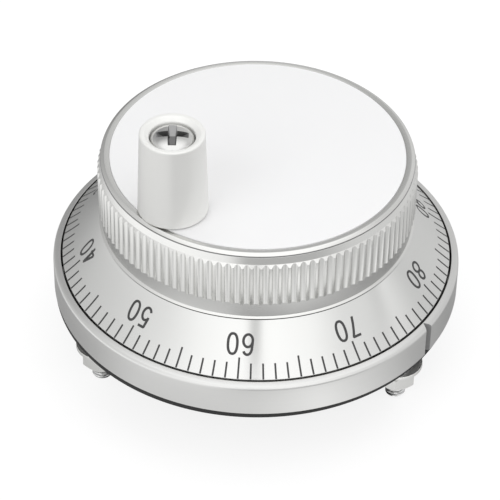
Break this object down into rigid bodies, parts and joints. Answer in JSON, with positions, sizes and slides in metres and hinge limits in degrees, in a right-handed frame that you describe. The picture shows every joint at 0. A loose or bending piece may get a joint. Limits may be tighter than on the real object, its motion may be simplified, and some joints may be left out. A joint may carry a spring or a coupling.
{
  "type": "pulse generator handwheel",
  "caption": "Manual pulse generator: fluted aluminium handwheel with crank grip and graduated dial, turning on ball bearings in a round panel-mounted base with rear terminals.",
  "frame": {"origin": "centre of the stud circle on the gasket face that meets the panel", "axes": "+Z out of the panel along the wheel's axis, +Y towards the index notch and the first stud"},
  "size_m": [0.08, 0.08, 0.0622],
  "materials": {
    "bezel_aluminium": "fine turned, clear anodised",
    "wheel_aluminium": "turned and polished, clear anodised",
    "dial_aluminium": "fine turned satin with black filled graduations",
    "white_disc": "semi-gloss white",
    "grip_plastic": "satin silver grey",
    "chrome_screw": "bright plated",
    "zinc_steel": "bright zinc plated",
    "bearing_steel": "ground",
    "spring_steel": "black oxide",
    "soft_iron": "stamped, dull",
    "magnet": "sintered, dull",
    "hub_brass": "turned",
    "plated_brass": "nickel plated, satin",
    "gasket_rubber": "matt black",
    "black_plastic": "moulded, fine spark texture",
    "board_laminate": "green solder mask",
    "nylon": "natural nylon"
  },
  "bodies": {
    "base": {"bezel_base": "bezel_aluminium", "gasket": "gasket_rubber", "panel_studs": "zinc_steel", "flat_washers": "zinc_steel", "spring_washers": "zinc_steel", "hex_nuts": "zinc_steel", "lower_outer_ring": "bearing_steel", "outer_spacer": "bearing_steel", "upper_outer_ring": "bearing_steel", "bearing_circlip": "spring_steel", "click_lower_pole": "soft_iron", "click_magnet": "magnet", "click_upper_pole": "soft_iron", "click_screws": "zinc_steel", "photo_sensor": "black_plastic", "circuit_board": "board_laminate", "board_components": "black_plastic", "board_screws": "zinc_steel", "rear_housing": "black_plastic", "housing_screws": "zinc_steel", "terminal_block": "black_plastic", "terminal_plates": "plated_brass", "wire_clamps": "plated_brass", "terminal_screws": "zinc_steel"},
    "wheel": {"hand_wheel": "wheel_aluminium", "dial_skirt": "dial_aluminium", "skirt_screws": "zinc_steel", "top_disc": "white_disc", "shaft": "bearing_steel", "wheel_washer": "zinc_steel", "wheel_screw": "zinc_steel", "lower_inner_ring": "bearing_steel", "inner_spacer": "bearing_steel", "upper_inner_ring": "bearing_steel", "click_rotor": "soft_iron", "disc_hub": "hub_brass", "code_disc": "bearing_steel", "disc_clamp": "hub_brass", "hub_set_screw": "spring_steel", "handle_base_washer": "nylon", "handle_sleeve": "bearing_steel", "handle_washer": "chrome_screw", "handle_screw": "chrome_screw"},
    "crank_grip": {"handle_grip": "grip_plastic"},
    "lower_ball_set": {"lower_balls": "bearing_steel", "lower_cage": "hub_brass"},
    "upper_ball_set": {"upper_balls": "bearing_steel", "upper_cage": "hub_brass"}
  },
  "joints": [
    {"name": "wheel_spin", "type": "hinge", "parent": "base", "child": "wheel", "pos_m": [0, 0, 0], "axis": [0, 0, 1], "continuous": true},
    {"name": "grip_spin", "type": "hinge", "parent": "wheel", "child": "crank_grip", "pos_m": [0.02293, -0.00351, 0.032], "axis": [0, 0, 1], "continuous": true},
    {"name": "lower_balls_roll", "type": "hinge", "parent": "base", "child": "lower_ball_set", "pos_m": [0, 0, 0.0065], "axis": [0, 0, 1], "continuous": true},
    {"name": "upper_balls_roll", "type": "hinge", "parent": "base", "child": "upper_ball_set", "pos_m": [0, 0, 0.0175], "axis": [0, 0, 1], "continuous": true}
  ],
  "couplings": [
    {"joint": "lower_balls_roll", "follows": "wheel_spin", "ratio": 0.3677},
    {"joint": "upper_balls_roll", "follows": "wheel_spin", "ratio": 0.3677}
  ]
}
